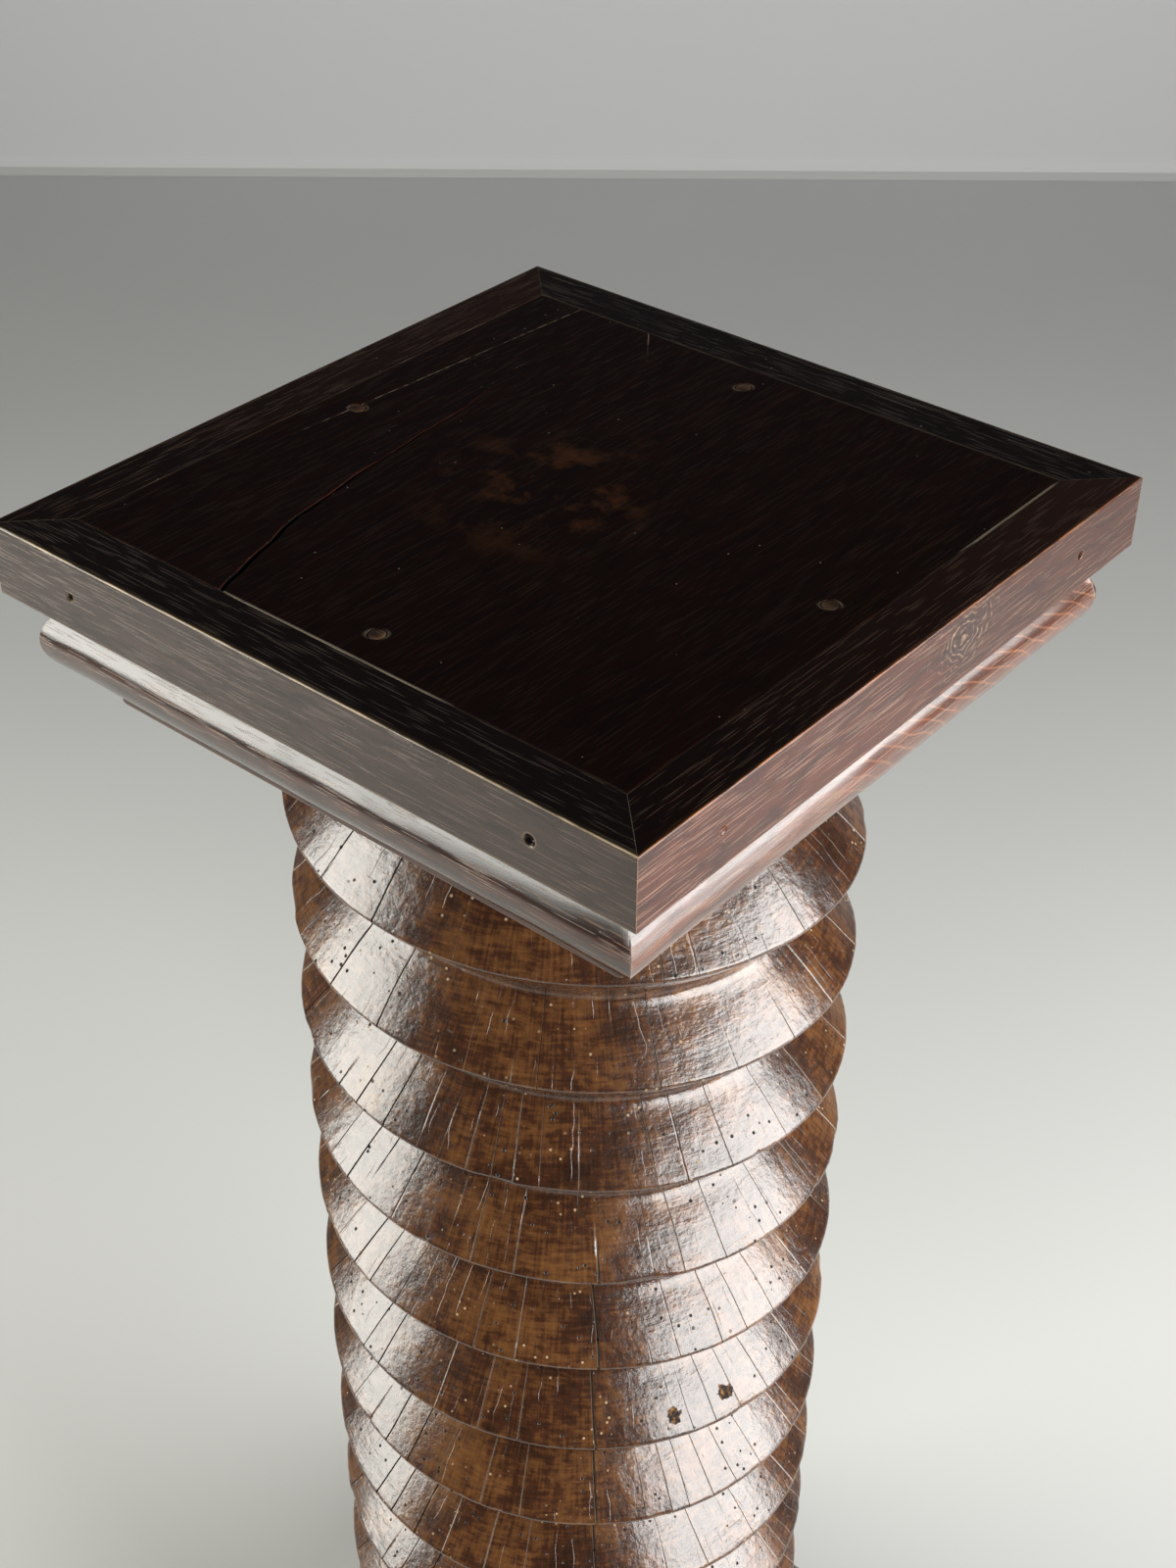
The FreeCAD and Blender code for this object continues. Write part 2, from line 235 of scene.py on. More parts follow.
def linear(code):
    """sRGB hex colour as linear red, green, blue and alpha: up to 0.04045 divided by 12.92, and above that
    shifted by 0.055 and raised to the power 2.4."""
    srgb = np.array([int(code[i:i + 2], 16) for i in (1, 3, 5)]) / 255
    shade = np.where(srgb <= 0.04045, srgb / 12.92, ((srgb + 0.055) / 1.055) ** 2.4)
    return (*shade.tolist(), 1.0)


def add(tree, kind, sockets=(), **settings):
    """Outputs of one new shader node, with its settings, and with each named socket given a value or another
    node's output."""
    made = tree.nodes.new("ShaderNode" + kind)
    for setting, value in settings.items():
        setattr(made, setting, value)
    for socket, value in dict(sockets).items():
        if isinstance(value, bpy.types.NodeSocket):
            tree.links.new(value, made.inputs[socket])
        else:
            made.inputs[socket].default_value = value
    return made.outputs


def maths(tree, operation, *values, **settings):
    """Result of one operation on numbers."""
    return add(tree, "Math", enumerate(values), operation=operation, **settings)[0]


def vectors(tree, operation, *values):
    """Outputs of one operation on vectors: a vector, and under "Value" a number."""
    return add(tree, "VectorMath", enumerate(values), operation=operation)


def ramp(tree, value, low, high, to_low=0.0, to_high=1.0):
    """Number carried from the range low to high to another range, and held inside it."""
    return add(tree, "MapRange", {0: value, 1: low, 2: high, 3: to_low, 4: to_high})[0]


def blend(tree, share, under, over):
    """Colour with a share of one laid over another. Each is a hex code or another node's output."""
    under, over = (linear(colour) if isinstance(colour, str) else colour for colour in (under, over))
    return add(tree, "Mix", {0: share, 6: under, 7: over}, data_type="RGBA")[2]


def noise(tree, where, size, detail, roughness=0.5):
    """Outputs of a noise texture with lumps of a size: a number and a colour."""
    sockets = {"Vector": where, "Scale": 1 / size, "Detail": detail, "Roughness": roughness}
    return add(tree, "TexNoise", sockets)


def new_finish(name):
    """Empty material, and its node tree."""
    material = bpy.data.materials.new(name)
    material.use_nodes = True
    material.node_tree.nodes.clear()
    return material, material.node_tree


# Waxed walnut, cut across the rings: brown and golden clouds with streaks round the turn, worm holes in
# clusters, hairline checks, and dust in the open ones. The wax gives a clear gloss, broken up by tool marks.
waxed_walnut, tree = new_finish("waxed_walnut")
spot = add(tree, "TexCoord")["Object"]
axes = add(tree, "SeparateXYZ", {0: spot})
axis_away = maths(tree, "ARCTAN2", axes[1], axes[0])
flat = add(tree, "CombineXYZ", {0: axes[0], 1: axes[1]})[0]
out = vectors(tree, "LENGTH", flat)["Value"]
cloud = noise(tree, spot, 38 * MM, 3, 0.55)[0]
mottle = noise(tree, spot, 6 * MM, 5, 0.65)[0]
bend = noise(tree, spot, 30 * MM, 2)[0]
bent_out = maths(tree, "MULTIPLY_ADD", bend, 9 * MM, out)
fibre = add(tree, "CombineXYZ", {0: bent_out, 1: axes[2], 2: axes[0]})[0]
fibre_size = (1 / (1.9 * MM), 1 / (1.9 * MM), 1 / (26 * MM))
fibre = vectors(tree, "MULTIPLY", fibre, fibre_size)[0]
fibre_w = maths(tree, "MULTIPLY", axes[1], 1 / (26 * MM))
streak = add(tree, "TexNoise", {"Vector": fibre, "W": fibre_w, "Scale": 1.0, "Detail": 3, "Roughness": 0.6},
             noise_dimensions="4D")[0]
rim_spot = vectors(tree, "NORMALIZE", flat)[0]
ray = add(tree, "CombineXYZ", {2: axes[2]})[0]
ray = vectors(tree, "MULTIPLY", ray, (0, 0, 1 / (24 * MM)))[0]
ray_size = (crest_radius / (1.6 * MM),) * 3
ray = vectors(tree, "MULTIPLY_ADD", rim_spot, ray_size, ray)[0]
ray = noise(tree, ray, 1, 3, 0.6)[0]
mixed = maths(tree, "MULTIPLY", cloud, 0.4)
for figure, share in ((mottle, 0.34), (streak, 0.26), (ray, 0.2)):
    mixed = maths(tree, "MULTIPLY_ADD", figure, share, mixed)
deep = ramp(tree, mixed, 0.47, 0.63)
pale = ramp(tree, mixed, 0.58, 0.76)
brown = blend(tree, deep, "#28160d", "#4a2b19")
golden = blend(tree, pale, brown, "#7a522d")

# Hairline checks up the screw, about 12 mm apart and open in patches
arc = maths(tree, "MULTIPLY", axis_away, crest_radius / (12 * MM))
drift = noise(tree, spot, 25 * MM, 2)[0]
arc = maths(tree, "MULTIPLY_ADD", drift, 0.8, arc)
hair = add(tree, "TexVoronoi", {"W": arc, "Scale": 1.0}, voronoi_dimensions="1D",
           feature="DISTANCE_TO_EDGE")[0]
hair = ramp(tree, hair, 0.022, 0.006)
patchy = noise(tree, spot, 30 * MM, 3)[0]
patchy = ramp(tree, patchy, 0.5, 0.66)
hair = maths(tree, "MULTIPLY", hair, patchy)

# Worm holes just under 2 mm across in clusters, and pale specks where splinters have come off
cell = add(tree, "TexVoronoi", {"Vector": spot, "Scale": 1 / (7.5 * MM)})[0]
hole = ramp(tree, cell, 0.135, 0.105)
nest = noise(tree, spot, 50 * MM, 1)[0]
nest = ramp(tree, nest, 0.47, 0.53)
hole = maths(tree, "MULTIPLY", hole, nest)
grain = add(tree, "TexVoronoi", {"Vector": spot, "Scale": 1 / (5.5 * MM)})[0]
speck = ramp(tree, grain, 0.16, 0.11)
speck_nest = noise(tree, spot, 28 * MM, 2)[0]
speck_nest = ramp(tree, speck_nest, 0.52, 0.62)
speck = maths(tree, "MULTIPLY", speck, speck_nest)

# Two holes where worm-eaten wood has crumbled out, dark with golden crumbs
crumb = noise(tree, spot, 4 * MM, 4, 0.7)
crumb_shift = 10 * MM
ragged = vectors(tree, "MULTIPLY_ADD", crumb[1], (crumb_shift,) * 3, spot)[0]
rot_spots = np.array([(132.2, -67.7, 570.8), (143.6, -33.5, 569.1)]) * MM + crumb_shift / 2
rot_away = [vectors(tree, "DISTANCE", ragged, rot_spot)["Value"] for rot_spot in rot_spots]
rot = maths(tree, "MINIMUM", rot_away[0], rot_away[1])
rot = ramp(tree, rot, 4.8 * MM, 4 * MM)
crumb_tone = ramp(tree, crumb[0], 0.5, 0.66)
rot_tone = blend(tree, crumb_tone, "#140a05", "#a07038")

dust = add(tree, "Attribute", attribute_name="dust")["Fac"]
dirt = maths(tree, "MULTIPLY_ADD", hair, 0.12, dust, use_clamp=True)
tone = golden
for mark, colour in ((speck, "#b49a78"), (dirt, "#9c9184"), (hole, "#0b0503")):
    tone = blend(tree, mark, tone, colour)
tone = blend(tree, rot, tone, rot_tone)
hole = maths(tree, "MAXIMUM", hole, rot)
gloss = ramp(tree, mottle, 0.3, 0.7, 0.3, 0.2)
bare_spot = maths(tree, "MAXIMUM", speck, dirt)
bare_spot = maths(tree, "MAXIMUM", hole, bare_spot)
dulled = maths(tree, "MULTIPLY_ADD", bare_spot, 0.6, gloss, use_clamp=True)
tool_marks = noise(tree, spot, 6 * MM, 5, 0.6)[0]
relief = tool_marks
for figure, share in ((streak, 0.35), (hole, -1.6), (hair, -0.25)):
    relief = maths(tree, "MULTIPLY_ADD", figure, share, relief)
raised = add(tree, "Bump", {"Height": relief, "Strength": 0.5, "Distance": 0.8 * MM})[0]
wax = ramp(tree, bare_spot, 0, 1, 0.7, 0.0)
shader = add(tree, "BsdfPrincipled", {
    "Base Color": tone, "Roughness": dulled, "Normal": raised, "Coat Normal": raised, "IOR": 1.5,
    "Coat Weight": wax, "Coat Roughness": 0.16})[0]
add(tree, "OutputMaterial", {0: shader})

clad("screw_column", waxed_walnut, "waxed_screw_wood", screw, tenon(tenon_ends[0], foot),
     tenon(tenon_ends[1], head))

# The plates: two square boards with planed edges, one under the top's moulding and one over the base's.
# The screw's shoulders bear on them, and its tenons go through their mortises.
mortise_half = tenon_half + 0.2 * MM
edge_round, edge_worn = 2.5 * MM, 0.7 * MM
corner_in, corner_out = 2 * MM, 3 * MM


def stained_wood(name, along, top, side, flame, pale, worn, gloss, side_pores, top_pores):
    """Stained and waxed board with its grain along axis 0 or 1: long streaks between two colours, short pale
    pores along the grain, worn arrises, and dusty joints, where the pale dust of an open joint is also a
    painted highlight of its edges. Upward and downward faces are darker than the sides and show less of the
    pores. The pores of oak are finer, and are drawn this coarse so that they show."""
    material, tree = new_finish(name)
    spot = add(tree, "TexCoord")["Object"]
    stretch = [1 / (5 * MM)] * 3
    stretch[along] = 1 / (85 * MM)
    long_way = vectors(tree, "MULTIPLY", spot, stretch)[0]
    sway = noise(tree, spot, 70 * MM, 2)[1]
    long_way = vectors(tree, "MULTIPLY_ADD", sway, (4,) * 3, long_way)[0]
    streak = noise(tree, long_way, 1, 5, 0.62)[0]
    pore_stretch = [1 / (0.8 * MM)] * 3
    pore_stretch[along] = 1 / (34 * MM)
    pore_way = vectors(tree, "MULTIPLY", spot, pore_stretch)[0]
    pore_way = vectors(tree, "MULTIPLY_ADD", sway, (1.5,) * 3, pore_way)[0]
    pore = add(tree, "TexVoronoi", {"Vector": pore_way, "Scale": 1.0})[0]
    facing = add(tree, "SeparateXYZ", {0: add(tree, "NewGeometry")["Normal"]})[2]
    facing = maths(tree, "ABSOLUTE", facing)
    lying = ramp(tree, facing, 0.4, 0.8)
    band = noise(tree, long_way, 2.5, 2)[0]
    pore_limit = ramp(tree, band, 0.35, 0.65, 0.32, 0.42)
    pore_limit = maths(tree, "MULTIPLY_ADD", lying, -0.05, pore_limit)
    pore = maths(tree, "SUBTRACT", pore_limit, pore)
    pore = ramp(tree, pore, 0.0, 0.12)
    shade = ramp(tree, streak, 0.35, 0.68)
    upright = blend(tree, shade, side, flame)
    flat_flame = blend(tree, 0.05, top, flame)
    level = blend(tree, shade, top, flat_flame)
    tone = blend(tree, lying, upright, level)
    pore_shown = ramp(tree, lying, 0, 1, side_pores, top_pores)
    pore_tone = maths(tree, "MULTIPLY", pore, pore_shown)
    wear = add(tree, "Attribute", attribute_name="wear")["Fac"]
    rub = noise(tree, long_way, 1 / 1.7, 3)[0]
    rub = ramp(tree, rub, 0.3, 0.6, 0.25, 1.0)
    rubbed = maths(tree, "MULTIPLY", wear, rub)
    dust = add(tree, "Attribute", attribute_name="dust")["Fac"]
    grain = add(tree, "TexVoronoi", {"Vector": spot, "Scale": 1 / (13 * MM)})[0]
    speck = ramp(tree, grain, 0.04, 0.02, 0, 0.5)
    for mark, colour in ((pore_tone, pale), (rubbed, worn), (dust, "#dccfb6"), (speck, "#a89a88")):
        tone = blend(tree, mark, tone, colour)
    rough = ramp(tree, streak, 0.3, 0.7, gloss + 0.08, gloss - 0.04)
    rough = maths(tree, "MULTIPLY_ADD", dust, 0.5, rough, use_clamp=True)
    fibre = maths(tree, "MULTIPLY_ADD", pore, -0.7, streak)
    raised = add(tree, "Bump", {"Height": fibre, "Strength": 0.4, "Distance": 0.4 * MM})[0]
    shader = add(tree, "BsdfPrincipled", {"Base Color": tone, "Roughness": rough, "Normal": raised,
                                          "IOR": 1.5})[0]
    add(tree, "OutputMaterial", {0: shader})
    return material


# Stained oak board: nearly black brown, with a thin wax that gives a low sheen
board_wood = stained_wood("stained_board", 0, "#170e0a", "#23150e", "#4a2b1b", "#7d6650", "#8a5a3a",
                          gloss=0.34, side_pores=0.5, top_pores=0.3)
for end in ("top", "base"):
    plate_low, plate_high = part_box(f"{end}_plate")
    half, low, high = plate_high.x, plate_low.z, plate_high.z
    clad(f"{end}_plate", board_wood, "stained_moulding", square_loft([
        (mortise_half, 0, low, 0), (half - edge_round, corner_in, low, 0),
        (half - edge_worn, corner_out, low + edge_worn, 0.5), (half, corner_out, low + edge_round, 0),
        (half, corner_out, high - edge_round, 0), (half - edge_worn, corner_out, high - edge_worn, 0.5),
        (half - edge_round, corner_in, high, 0), (mortise_half, 0, high, 0), (mortise_half, 0, low, 0)]))

# The cores: plain sawn boards inside the rings of moulding, seen by nobody once the slabs are on.
# The solids of the frame are right as they are, and get bare wood.

# Bare softwood: pale, dry and dull, with darker pores
bare_board = stained_wood("bare_board", 0, "#8a6a48", "#8f7150", "#a98a63", "#6a4f36", "#b79a72",
                          gloss=0.6, side_pores=0.6, top_pores=0.6)
for end in ("top", "base"):
    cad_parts[f"{end}_core"].data.materials.clear()
    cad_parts[f"{end}_core"].data.materials.append(bare_board)

# The mouldings: eight strips run with a moulding plane, a half-round nose and a flat step next to the slab.
# Each is mitred at both ends and glued to the edge of its core, and polished by hand.
SIDES = {"front": 0, "right": 1, "back": 2, "left": 3}
overall_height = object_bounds()[1].z


def mitred_strip(section, along):
    """Section of (out, height, wear, dust) carried along a side: at a share s of the half length, x is s
    times out and y is minus out, so both ends are cut at 45 degrees."""
    out, level, wear, dust = (section[:, i, None] for i in range(4))
    share = along[None, :]
    x = share * out
    return np.stack([x, -out + 0 * x, level + 0 * x, wear + 0 * x, dust + 0 * x], -1)


def to_side(sheet, end, side):
    """Front piece of the top brought to its place: at the base turned half round Y, then by quarters
    round Z."""
    x, y, z = np.moveaxis(sheet[..., :3], -1, 0)
    if end == "base":
        x, z = -x, overall_height - z
    c, s = ((1, 0), (0, 1), (-1, 0), (0, -1))[SIDES[side]]
    return np.concatenate([np.stack([c * x - s * y, s * x + c * y, z], -1), sheet[..., 3:]], -1)


bead_high, bead_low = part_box("top_bead_front")[1].z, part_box("top_bead_front")[0].z
bead_nose, bead_back = -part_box("top_bead_front")[0].y, -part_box("top_bead_front")[1].y
nose_radius = 19.5 * MM
nose_middle = (bead_nose - nose_radius, bead_low + nose_radius)
sweep = np.linspace(math.pi / 2, -math.pi / 2, 25)
nose = np.stack([nose_middle[0] + nose_radius * np.cos(sweep), nose_middle[1] + nose_radius * np.sin(sweep),
                 np.exp(-((sweep - 0.05) / 0.12) ** 2) * 0.22, 0 * sweep], -1)
bead_section = np.concatenate([[(bead_back, bead_high, 0, 0), (nose_middle[0], bead_high, 0, 0)], nose,
                               [(bead_back, bead_low, 0, 0), (bead_back, bead_high, 0, 0)]])
mitre_share = 1 - np.array([0, 0.4, 1.5, 6]) * MM / bead_nose
bead_along = np.unique(np.concatenate([np.linspace(-0.96, 0.96, 60), mitre_share, -mitre_share]))
bead_sheet = mitred_strip(bead_section, bead_along)
mitre_gap = np.clip(1 - (1 - np.abs(bead_along)) * bead_nose / (0.6 * MM), 0, 1)
bead_sheet[..., 4] = 0.1 * mitre_gap
hand_plane = 0.35 * MM * lump(bead_sheet[..., 0] / (26 * MM), bead_sheet[..., 2] / (14 * MM), 21)
on_nose = np.zeros((len(bead_section), 1))
on_nose[3:len(nose) + 1] = 1
bead_sheet[..., 1] -= on_nose * (hand_plane - 0.3 * MM) * (1 - mitre_gap)

# Stained oak moulding: redder than the slab, with a polish that is nearly a varnish. The strips along X are
# toned darker and those along Y lighter and redder: one oak given painted shade and painted light for how
# each side is lit
bead_tones_by_light = (("x", "#1a0e0a", "#3a2016"), ("y", "#361a10", "#683822"))
bead_wood = [stained_wood(f"polished_moulding_{axis}", along, "#1a0e09", side, flame, "#8a6a50", "#8d5236",
                          gloss=0.22, side_pores=0.6, top_pores=0.4)
             for along, (axis, side, flame) in enumerate(bead_tones_by_light)]
for wood in bead_wood:
    polish = wood.node_tree.nodes["Principled BSDF"].inputs
    polish["Coat Weight"].default_value = 0.45
    polish["Coat Roughness"].default_value = 0.15


def taken_up(material):
    """A finished material taken up again: its node tree, its shader, its colour so far, and coordinates."""
    tree = material.node_tree
    shader = tree.nodes["Principled BSDF"]
    return tree, shader, shader.inputs["Base Color"].links[0].from_socket, add(tree, "TexCoord")["Object"]


# The strips along Y are flat sawn: their growth rings show as pale arcs that come down the nose
ring_lean, ring_sway, ring_apart = 95 * MM, 30 * MM, 15 * MM
figure_from, figure_to = -90 * MM, 20 * MM
half_height = overall_height / 2
tree, shader, tone, spot = taken_up(bead_wood[1])
axes = add(tree, "SeparateXYZ", {0: spot})
from_middle = maths(tree, "SUBTRACT", axes[2], half_height)
from_middle = maths(tree, "ABSOLUTE", from_middle)
climb = ramp(tree, from_middle, bead_low - half_height, bead_high - half_height)
climb = maths(tree, "POWER", climb, 1.6)
arc = maths(tree, "MULTIPLY_ADD", climb, ring_lean, axes[1])
sway = noise(tree, spot, 45 * MM, 2)[0]
arc = maths(tree, "MULTIPLY_ADD", sway, ring_sway, arc)
arc = maths(tree, "MULTIPLY", arc, TAU / ring_apart)
arc = maths(tree, "SINE", arc)
arc = ramp(tree, arc, 0.78, 1.0)
figured = ramp(tree, axes[1], figure_from, figure_to, 0, 0.4)
arc = maths(tree, "MULTIPLY", arc, figured)
tone = blend(tree, arc, tone, "#a06a4a")
tree.links.new(tone, shader.inputs["Base Color"])
for end in ("top", "base"):
    for side, quarter in SIDES.items():
        clad(f"{end}_bead_{side}", bead_wood[quarter % 2], "stained_moulding", to_side(bead_sheet, end, side))

# The rails: eight oak edge strips, mitred at the corners round the panels and fixed with two nails each.
# The nails are punched below the face. Handling has rubbed the stain off the arrises.
rail_low, rail_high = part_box("top_rail_front")
rail_out, rail_in = -rail_low.y, -rail_high.y
slab_low, slab_high = rail_low.z, rail_high.z
nail_from_middle = rail_out - 56 * MM
nail_level = (slab_low + slab_high) / 2
pit_depth = 2.8 * MM
# The two nail pits of each rail: radius in mm, and how much of the depth isn't filled with old wax
nail_pits = {"front": ((2.4, 1), (3.4, 1)), "right": ((2.2, 0.25), (2.4, 1)),
             "back": ((3, 1), (2.6, 1)), "left": ((2.6, 1), (3, 1))}
arris = 0.9 * MM
pit_steps = np.array([0, 1.2, 2.1, 2.6, 3, 3.4, 3.8, 4.4, 6, 8]) * MM
pit_steps = np.concatenate([-pit_steps[:0:-1], pit_steps])


def round_off(a, b, middle_a, middle_b, circle, reach):
    """Grid lines drawn into circles about a point: a square ring at distance d becomes a circle of radius d,
    fully so inside the circle and less and less out to the reach. Gives the moved lines, and d."""
    from_a, from_b = a - middle_a, b - middle_b
    ring = np.maximum(np.abs(from_a), np.abs(from_b))
    true = np.maximum(np.hypot(from_a, from_b), 1e-9)
    share = 1 - ease((ring - circle) / (reach - circle))
    scale = 1 + share * (ring / true - 1)
    return middle_a + from_a * scale, middle_b + from_b * scale, ring


round_steps = np.linspace(0, TAU / 4, 4)
arris_out, arris_in = arris * np.sin(round_steps), arris * np.cos(round_steps)
top_arris = np.stack([rail_out - arris + arris_out, slab_high - arris + arris_in], -1)
low_arris = np.stack([rail_out - arris + arris_in, slab_low + arris - arris_out], -1)
even_levels = np.linspace(slab_low + 2 * MM, slab_high - 2 * MM, 10)
face_levels = np.concatenate([(nail_level + pit_steps)[::-1], even_levels])
face_levels = np.unique(np.round(face_levels, 5))[::-1]
joint_low = slab_high - 0.15 * MM
# At the joint to the panel the section carries pale dust, laid on strongly enough to be also a painted
# highlight of the joint's edge
rail_section = np.concatenate([
    [(rail_in, joint_low, 0, 0.95), (rail_in + 0.3 * MM, slab_high, 0, 0.6),
     (rail_in + 0.6 * MM, slab_high, 0, 0), (rail_in + 8 * MM, slab_high, 0, 0),
     (rail_in + 16 * MM, slab_high, 0, 0), (rail_out - 3 * MM, slab_high, 0, 0)],
    np.c_[top_arris, [0.05, 0.9, 0.7, 0.05], np.zeros(4)],
    np.c_[np.full(len(face_levels), rail_out), face_levels, np.zeros((len(face_levels), 2))],
    np.c_[low_arris, [0.1, 0.6, 0.6, 0], np.zeros(4)],
    [(rail_in, slab_low, 0, 0), (rail_in, joint_low, 0, 0.95)]])
mitre_steps = np.array([0, 0.25, 1, 3]) * MM / rail_out
rail_share = np.concatenate([np.linspace(-0.985, 0.985, 81), (nail_from_middle + pit_steps) / rail_out,
                             (-nail_from_middle + pit_steps) / rail_out, 1 - mitre_steps, -1 + mitre_steps])
rail_share = np.unique(np.round(rail_share, 6))
pit_reach = 9 * MM


def rail_sheet(seed, pits, open_from, open_to):
    """Rail section carried along a side, with its two nail pits, an arris worn unevenly, a pale open joint to
    the panel between two points of its length, which is dust and a painted highlight of the joint's edges,
    and a fine pale line at each mitre."""
    sheet = mitred_strip(rail_section, rail_share)
    x, out, level, wear, dust = (sheet[..., i].copy() for i in range(5))
    out = -out
    on_face = out > rail_out - 0.01 * MM
    for middle, (radius_mm, unfilled) in zip((-nail_from_middle, nail_from_middle), pits):
        pit_radius = radius_mm * MM
        moved_x, moved_level, ring = round_off(x, level, middle, nail_level, pit_radius + 0.3 * MM, pit_reach)
        near = on_face & (ring < pit_reach)
        x, level = np.where(near, moved_x, x), np.where(near, moved_level, level)
        out = np.where(near, out - pit_depth * unfilled * ease((pit_radius - ring) / (0.6 * pit_radius)), out)
        pit_rim = 0.3 * np.exp(-((ring - pit_radius) / (0.5 * MM)) ** 2)
        wear = np.where(near, np.maximum(wear, pit_rim), wear)
    scuffed = np.clip(0.7 + 0.6 * lump(x / (9 * MM), 0 * x, seed + 4), 0.2, 1)
    wear = np.where(wear > 0.35, wear * scuffed, wear)
    worn = np.clip(0.5 + 0.9 * lump(x / (17 * MM), 0 * x, seed), 0, 1) * (wear > 0.25) * on_face
    rubbed = 0.5 * MM * worn * np.clip(lump(x / (6 * MM), 0 * x, seed + 1) + 0.6, 0, 1)
    along = ease((x - open_from) / (8 * MM)) * ease((open_to - x) / (8 * MM))
    dust = dust * (0.05 + 0.95 * along) * np.clip(0.9 + 0.5 * lump(x / (9 * MM), 0 * x, seed + 2), 0, 1)
    mitre = np.clip(1 - (1 - np.abs(rail_share)) * rail_out / (0.25 * MM), 0, 1)
    broken = np.clip(0.55 + 0.7 * lump(out / (7 * MM), level / (7 * MM), seed + 3), 0.1, 1)
    dust = np.maximum(dust, mitre * broken * np.where(on_face, 0, 0.22))
    wear = np.maximum(wear, mitre * np.where(on_face, 0.9, 0))
    return np.stack([x, rubbed - out, level, wear, dust], -1)


# Stained oak: almost black where it lies flat, with pale pores. On the edges it is one red brown oak toned
# apart by how each side is lit: along X a grey brown with grey pores that is painted sheen from the floor,
# along Y a lighter red that is painted light from the window on the right. A row gives axis, side, flame,
# pores, worn arris, and how much of the pores shows on the sides and on top
rail_tones_by_light = (("x", "#2b1e18", "#422f27", "#86766a", "#d0b48c", 0.38, 0.2),
                 ("y", "#34170f", "#55291b", "#c29a80", "#b8764a", 0.3, 0.1))
rail_gloss = 0.23
rail_wood = [stained_wood(f"stained_oak_{axis}", along, "#090504", side, flame, pale, worn, rail_gloss,
                          *pores)
             for along, (axis, side, flame, pale, worn, *pores) in enumerate(rail_tones_by_light)]

# A knot in the right rail of the top, pale lines that wind round a dark eye, and painted shade that darkens
# the rails along Y towards the back, where the sheen on the right face fades
tree, shader, tone, spot = taken_up(rail_wood[1])
behind = add(tree, "SeparateXYZ", {0: spot})[1]
behind = ramp(tree, behind, -120 * MM, 160 * MM, 0, 0.5)
swirl = noise(tree, spot, 11 * MM, 2)[1]
swirl_shift, knot_flat = 12 * MM, 0.7
knot_spot = (rail_out, 38.3 * MM + swirl_shift / 2 / knot_flat, slab_high - 15.4 * MM + swirl_shift / 2)
from_knot = vectors(tree, "SUBTRACT", spot, knot_spot)[0]
from_knot = vectors(tree, "MULTIPLY", from_knot, (1, knot_flat, 1))[0]
swirl_reach = (0, swirl_shift, swirl_shift)
from_knot = vectors(tree, "MULTIPLY_ADD", swirl, swirl_reach, from_knot)[0]
rings = vectors(tree, "LENGTH", from_knot)["Value"]
ring_line = maths(tree, "MULTIPLY", rings, TAU / (3.6 * MM))
ring_line = maths(tree, "SINE", ring_line)
ring_line = ramp(tree, ring_line, 0.45, 0.95)
knot_reach = ramp(tree, rings, 22 * MM, 9 * MM, 0, 0.5)
upright = add(tree, "SeparateXYZ", {0: add(tree, "NewGeometry")["Normal"]})[0]
upright = ramp(tree, upright, 0.6, 0.9)
knot_reach = maths(tree, "MULTIPLY", knot_reach, upright)
broken = noise(tree, spot, 5 * MM, 2)[0]
broken = ramp(tree, broken, 0.4, 0.6)
knot_reach = maths(tree, "MULTIPLY", knot_reach, broken)
ring_line = maths(tree, "MULTIPLY", ring_line, knot_reach)
eye = ramp(tree, rings, 17 * MM, 7 * MM, 0, 0.75)
for mark, colour in ((behind, "#2b1711"), (eye, "#2a1813"), (ring_line, "#b3927a")):
    tone = blend(tree, mark, tone, colour)
tree.links.new(tone, shader.inputs["Base Color"])
# The wax on the rails along Y is thin and mirrors less
shader.inputs["Specular IOR Level"].default_value = 0.38
for wood in rail_wood:
    wood.node_tree.nodes["Bump"].inputs["Strength"].default_value = 0.3
# Where each joint to the panel stands open along the rail, its pale line both dust and a painted highlight of
# its edges. A closed one has its stretch beyond the rail's end
closed = (-250 * MM, -240 * MM)
open_joint_dust_and_highlight = {"front": (-69 * MM, 72 * MM), "right": (85 * MM, 168 * MM), "back": closed, "left": closed}
for end in ("top", "base"):
    for side, quarter in SIDES.items():
        seed = 40 + 5 * quarter + (20 if end == "base" else 0)
        sheet = rail_sheet(seed, nail_pits[side], *open_joint_dust_and_highlight[side])
        clad(f"{end}_rail_{side}", rail_wood[quarter % 2], "stained_oak", to_side(sheet, end, side))

# The panels: oak boards flush in their frames, nailed down to the cores. The top one has a long split that
# opens towards the front rail, and plugged nail holes. The base one lies face down, its nails punched in.
panel_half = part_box("top_panel")[1].x
plug_spots = np.array([(11, -150.5), (150.5, 0), (-11, 150.5), (-150.5, 0)]) * MM
plug_hole = 4.7 * MM
plug_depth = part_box("panel_plugs")[1].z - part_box("panel_plugs")[0].z
hole_steps = np.array([0, 2, 3.6, 4.5, 4.7, 4.85, 5.2, 6.5, 9, 12]) * MM
hole_steps = np.concatenate([-hole_steps[:0:-1], hole_steps])
split_path = np.array([(-171, -69), (-107, -90), (-49, -100), (-15, -104), (41, -109), (82, -119),
                       (103, -118), (171, -122)]) * MM
split_side = np.array([0.7, 0.8, 1.5, 3.2, 7, 15, 30])
split_offsets = np.concatenate([-split_side[::-1], [0], split_side]) * MM
split_rest = -100 * MM
split_end, split_taper = 118 * MM, 330 * MM
split_wall = 0.7 * MM
split_lip = 0.75 * MM
hole_reach = 12 * MM


